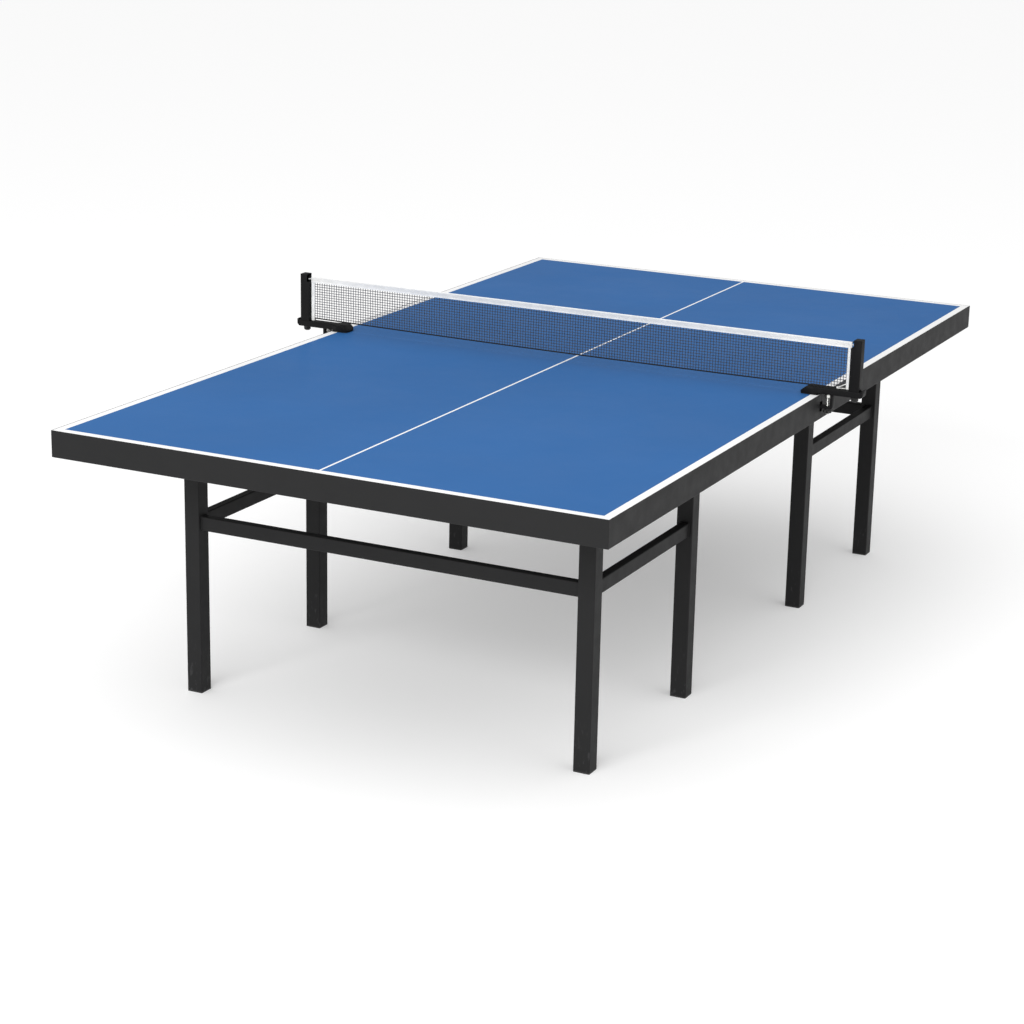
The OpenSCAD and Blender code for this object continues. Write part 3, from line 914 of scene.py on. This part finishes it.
# ---------------------------------------------------------------- net

def foot_line(x):
    """Height of the foot cord at x: it rises to the left and sags between the sleeves."""
    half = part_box("net_mesh")[1].x
    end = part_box("net_cords")[0].z + FOOT_CORD_R
    along = max(-1.0, min(1.0, x / half))
    return end + FOOT_LINE_RISE * (1 - along) / 2 - FOOT_CORD_SAG * (1 - along ** 2)


def net_threads():
    """Every thread of the netting, knotted where they cross, between the tape and the foot cord."""
    low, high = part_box("net_mesh")
    into_tape, billow, seed = 0.002, 0.0009, 11
    columns = round((high.x - low.x) / PITCH)
    draw = random.Random(seed)
    grid = []
    for i in range(columns + 1):
        x = low.x + (high.x - low.x) * i / columns
        foot = foot_line(x)
        line = []
        for j in range(ROWS + 2):
            z = foot + (high.z + into_tape - foot) * j / (ROWS + 1)
            slack = THREAD_STRAY * (0.3 if i in (0, columns) or j in (0, ROWS + 1) else 1)
            line.append(Vector((
                x + draw.uniform(-slack, slack),
                billow * noise.noise(Vector((x * 9, 0, z * 14))),
                z + draw.uniform(-slack, slack),
            )))
        grid.append(line)
    shape = Shape()
    for line in grid:
        shape.skin(tube_rings(line, THREAD_R, THREAD_SIDES))
    for j in range(1, ROWS + 1):
        shape.skin(tube_rings([line[j] for line in grid], THREAD_R, THREAD_SIDES))
    across, flattened = Vector((1, 0, 0)), Vector((0, 0.8, 0))
    for line in grid:
        for point in line[1:-1]:
            rings = []
            for height, radius in KNOT_PROFILE:
                centre = point + Vector((0, 0, KNOT_R * height))
                rings.append(circle(centre, across, flattened, KNOT_R * radius, THREAD_SIDES))
            shape.skin(rings)
    settle(build("netting", shape, [THREAD], 70), "net_set", "net_thread", "net_mesh")


def cloth_strip(line, half_t):
    """A closed outline round an open line of cloth; half_t is half the thickness at each point."""
    left, right = [], []
    for i, (y, z) in enumerate(line):
        (y0, z0), (y1, z1) = line[max(0, i - 1)], line[min(len(line) - 1, i + 1)]
        length = math.hypot(y1 - y0, z1 - z0)
        ny, nz = -(z1 - z0) / length, (y1 - y0) / length
        left.append((y + ny * half_t[i], z + nz * half_t[i]))
        right.append((y - ny * half_t[i], z - nz * half_t[i]))
    return left + right[::-1]


def tape_line(low_z, high_z):
    """Centre line of the folded tape across the net, from one bottom edge over the top to the other."""
    fold_r, waist = 0.0021, TAPE_WAIST
    side = [
        (-waist, 0.0), (-waist, 0.0012), (-waist, 0.0026), (-waist, HEM_H),
        (-waist - 0.0001, HEM_H + 0.0006), (-waist - 0.0003, 0.0070),
        (-waist - 0.0005, 0.0100), (-waist - 0.0007, 0.0125),
    ]
    centre = high_z - low_z - CLOTH_T / 2 - fold_r
    arc = [(-fold_r * math.cos(a), centre + fold_r * math.sin(a))
           for a in (math.pi * k / 12 for k in range(1, 12))]
    other = [(-y, z) for y, z in reversed(side)]
    return [(y, low_z + z) for y, z in [*side, *arc, *other]]


def stitches(points, direction):
    """Short raised stitches at each point, lying along a direction, thin at both ends."""
    def thickness(along):
        return STITCH_R * (0.35 if along < 1e-9 or along > STITCH_L * 0.99 else 1)
    shape = Shape()
    half = Vector(direction) * STITCH_L / 2
    for p in points:
        shape.skin(tube_rings([p - half, p - half * 0.4, p + half * 0.4, p + half], thickness, 4))
    return shape


def net_tape():
    """White tape folded over the head cord, with a painted highlight along its hem and its fold: whiter
    cloth there stands for the light they catch.
    """
    low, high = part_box("net_tape")
    line = tape_line(low.z, high.z)
    half_t = [CLOTH_T / 2 + (HEM_EXTRA if z < low.z + HEM_H + 1e-6 else 0) for y, z in line]
    outline = cloth_strip(line, half_t)
    n = len(outline)
    ring_gap, ripple_y, pucker_y, pucker_pitch = 0.005, 0.0003, 0.0001, 0.019
    steps = round((high.x - low.x) / ring_gap)
    rings = []
    for i in range(steps + 1):
        x = low.x + (high.x - low.x) * i / steps
        ring = []
        for y, z in outline:
            share = 1 - (z - low.z) / (high.z - low.z)
            ripple = ripple_y * noise.noise(Vector((x * 22, 3, z * 30)))
            pucker = pucker_y * math.sin(2 * math.pi * x / pucker_pitch) * share
            ring.append(Vector((x, y + (ripple + pucker) * min(1.0, share * 2), z)))
        rings.append(ring)
    shape = Shape().skin(rings)
    # The faces along the hem and the fold take the whiter cloth, a painted highlight for the light they
    # catch
    hem_top, fold_low = low.z + HEM_H + 0.0005, high.z - 0.0016
    bright = set()
    for k in range(n):
        z0, z1 = sorted((outline[k][1], outline[(k + 1) % n][1]))
        if z1 < hem_top or z0 > fold_low:
            bright.add(k)
    for f in range(steps * n):
        if f % n in bright:
            shape.patches[f] = 1
    piece = build("head_tape", shape, [TAPE_CLOTH, SLEEVE_CLOTH_AND_HEM_HIGHLIGHT], 50)
    settle(piece, "net_set", "net_tape", "net_tape")
    fold_over, seam_rise = 0.002, 0.0026
    count = round((high.x - low.x) / STITCH_PITCH) - 2
    out = TAPE_WAIST + CLOTH_T / 2 + HEM_EXTRA
    seam = stitches(
        [Vector((low.x + STITCH_PITCH * (i + 1.5), y, low.z + seam_rise))
         for y in (-out, out) for i in range(count)],
        (1, 0, 0),
    )
    thread = settle(build("tape_stitching", seam, [STITCH], 80), "net_set", "net_tape")


def sleeve(side):
    """White cloth sleeve folded round the rod at one end of the net, flatter towards the netting."""
    low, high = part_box("net_sleeves")
    outer = high.x + SLEEVE_TO_POST
    half_w, half_d = (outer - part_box("net_mesh")[1].x) / 2, (high.y - low.y) / 2
    sign = SIDES[side]
    centre_x = outer - half_w
    around, rows, ripple = 40, 30, 0.0002
    line = []
    for k in range(around):
        angle = 2 * math.pi * k / around
        c, s = math.cos(angle), math.sin(angle)
        swell = min(1.0, 1.25 * (0.5 + 0.5 * c) ** 0.6)
        line.append((centre_x + half_w * math.copysign(abs(c) ** 0.8, c),
                     half_d * (0.30 + 0.70 * swell) * math.copysign(abs(s) ** 0.9, s)))
    narrow, thin = 1 - CLOTH_T / half_w, 1 - CLOTH_T / half_d
    inner = [(centre_x + (px - centre_x) * narrow, py * thin) for px, py in line]
    levels = [low.z + (high.z - low.z) * i / rows for i in range(rows + 1)]

    def ring(outline, z):
        """The outline at a height, rippled the same way inside and out."""
        shift = ripple * noise.noise(Vector((centre_x * 60, sign * 5, z * 45)))
        return [Vector((sign * px, py + shift, z)) for px, py in outline]
    shape = Shape()
    shape.skin([ring(line, z) for z in levels] + [ring(inner, z) for z in reversed(levels)], loop=True)
    piece = build(f"{side}_net_sleeve", shape, [SLEEVE_CLOTH_AND_HEM_HIGHLIGHT], 60)
    settle(piece, "net_set", "net_tape", "net_sleeves")
    count = int((high.z - low.z) / STITCH_PITCH) - 1
    seam_x, reach = centre_x - half_w * 0.62, 0.0012
    out = max(py for px, py in line if abs(px - seam_x) < reach) + 0.0001
    seam = stitches(
        [Vector((sign * seam_x, y, low.z + STITCH_PITCH * (i + 1)))
         for y in (-out, out) for i in range(count)],
        (0, 0, 1),
    )
    thread = settle(build(f"{side}_sleeve_stitching", seam, [STITCH], 80), "net_set", "net_tape")


def head_cord():
    """White head cord with a loop round each hook."""
    cord_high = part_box("net_cords")[1]
    head_z = cord_high.z - FOOT_CORD_R
    stem_in, stem_out = cord_high.x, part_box("post_hooks")[1].x
    loop = [
        (stem_in - 0.009, -0.0006, head_z), (stem_in - 0.0040, -0.0016, head_z + 0.0002),
        (stem_in - 0.0005, -0.0031, head_z + 0.0001), (stem_in + 0.0015, -0.0036, head_z - 0.0002),
        (stem_out + 0.0004, -0.0030, head_z - 0.0005), (stem_out + 0.0016, 0.0, head_z - 0.0006),
        (stem_out + 0.0004, 0.0030, head_z - 0.0005), (stem_in + 0.0015, 0.0036, head_z - 0.0002),
        (stem_in - 0.0005, 0.0031, head_z - 0.0006), (stem_in - 0.0040, 0.0016, head_z - 0.0012),
        (stem_in - 0.009, 0.0004, head_z - 0.0014),
    ]
    head = Shape()
    for sign in (-1, 1):
        path = smooth_path([(sign * x, y, z) for x, y, z in loop], 6)
        head.skin(tube_rings(path, HEAD_CORD_R, 10))
    inside = stem_in - 0.008
    run = [(inside * t, 0, head_z - 0.0004) for t in (-1, -0.5, 0, 0.5, 1)]
    head.skin(tube_rings(run, HEAD_CORD_R, 10))
    settle(build("head_cord", head, [WHITE_CORD], 60), "net_set", "net_cord", "net_cords")


def foot_cord():
    """Black foot cord, with its tail hanging at the left end."""
    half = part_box("net_mesh")[1].x
    steps = 160
    xs = [half * (2 * i / steps - 1) for i in range(steps + 1)]
    foot = Shape().skin(tube_rings([(x, 0, foot_line(x)) for x in xs], FOOT_CORD_R, 10))
    top, tail_z = foot_line(-half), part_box("net_cords")[0].z + 0.0015
    tail = [(-half + 0.0030, 0, top), (-half + 0.0022, -0.0022, top - 0.0012),
            (-half + 0.0020, -0.0026, top - 0.0042), (-half + 0.0022, -0.0024, tail_z)]
    foot.skin(tube_rings(smooth_path(tail, 6), FOOT_CORD_R * 0.8, 8))
    settle(build("foot_cord", foot, [BLACK_CORD], 60), "net_set", "net_cord")


def corner_tie():
    """White cord from the right sleeve, wound three times round the foot cord."""
    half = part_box("net_mesh")[1].x
    tie_x, turn_gap = half - 0.024, 0.0022
    tie = Shape()
    foot_z, low_z = foot_line(half), foot_line(tie_x)
    tie.skin(tube_rings(smooth_path([
        (half + 0.0015, -0.0025, foot_z + 0.0002), (half - 0.006, -0.0030, foot_z),
        (tie_x + 0.004, -0.0030, low_z - 0.0002), (tie_x, -0.0028, low_z - 0.0002),
    ], 8), TIE_R, 8))
    tie.skin(tube_rings(smooth_path([
        (tie_x, -0.0028, low_z + 0.0006), (tie_x + 0.007, -0.0030, low_z + 0.0035),
        (half - 0.006, -0.0030, foot_z + 0.0090), (half + 0.0018, -0.0024, foot_z + 0.0130),
    ], 8), TIE_R * 1.15, 8))
    for turn in range(3):
        x = tie_x + turn_gap * turn
        centre = Vector((x, 0, foot_line(x)))
        ring = circle(centre, Vector((0, 1, 0)), Vector((0, 0, 1)), FOOT_CORD_R + TIE_R * 0.8, 18)
        tie.skin(tube_rings(ring, TIE_R * 0.85, 7, closed=True), loop=True)
    settle(build("corner_tie", tie, [WHITE_CORD], 60), "net_set", "net_cord")


# ---------------------------------------------------------------- the whole

make_camera()
make_sky()
make_lamp("front_softbox", *FRONT_LAMP)
make_lamp("side_softbox", *SIDE_LAMP)
make_floor()
make_backdrop()
scene.view_settings.view_transform = "Standard"
finish_nodes()
for half in HALVES:
    board(half)
    welds(half)
for side in SIDES:
    clamp_arm(side)
    star_knob(side)
    ribbed_knob(side)
    sleeve(side)
threaded_studs()
lock_nuts()
clamp_details()
net_threads()
head_cord()
foot_cord()
corner_tie()
net_tape()
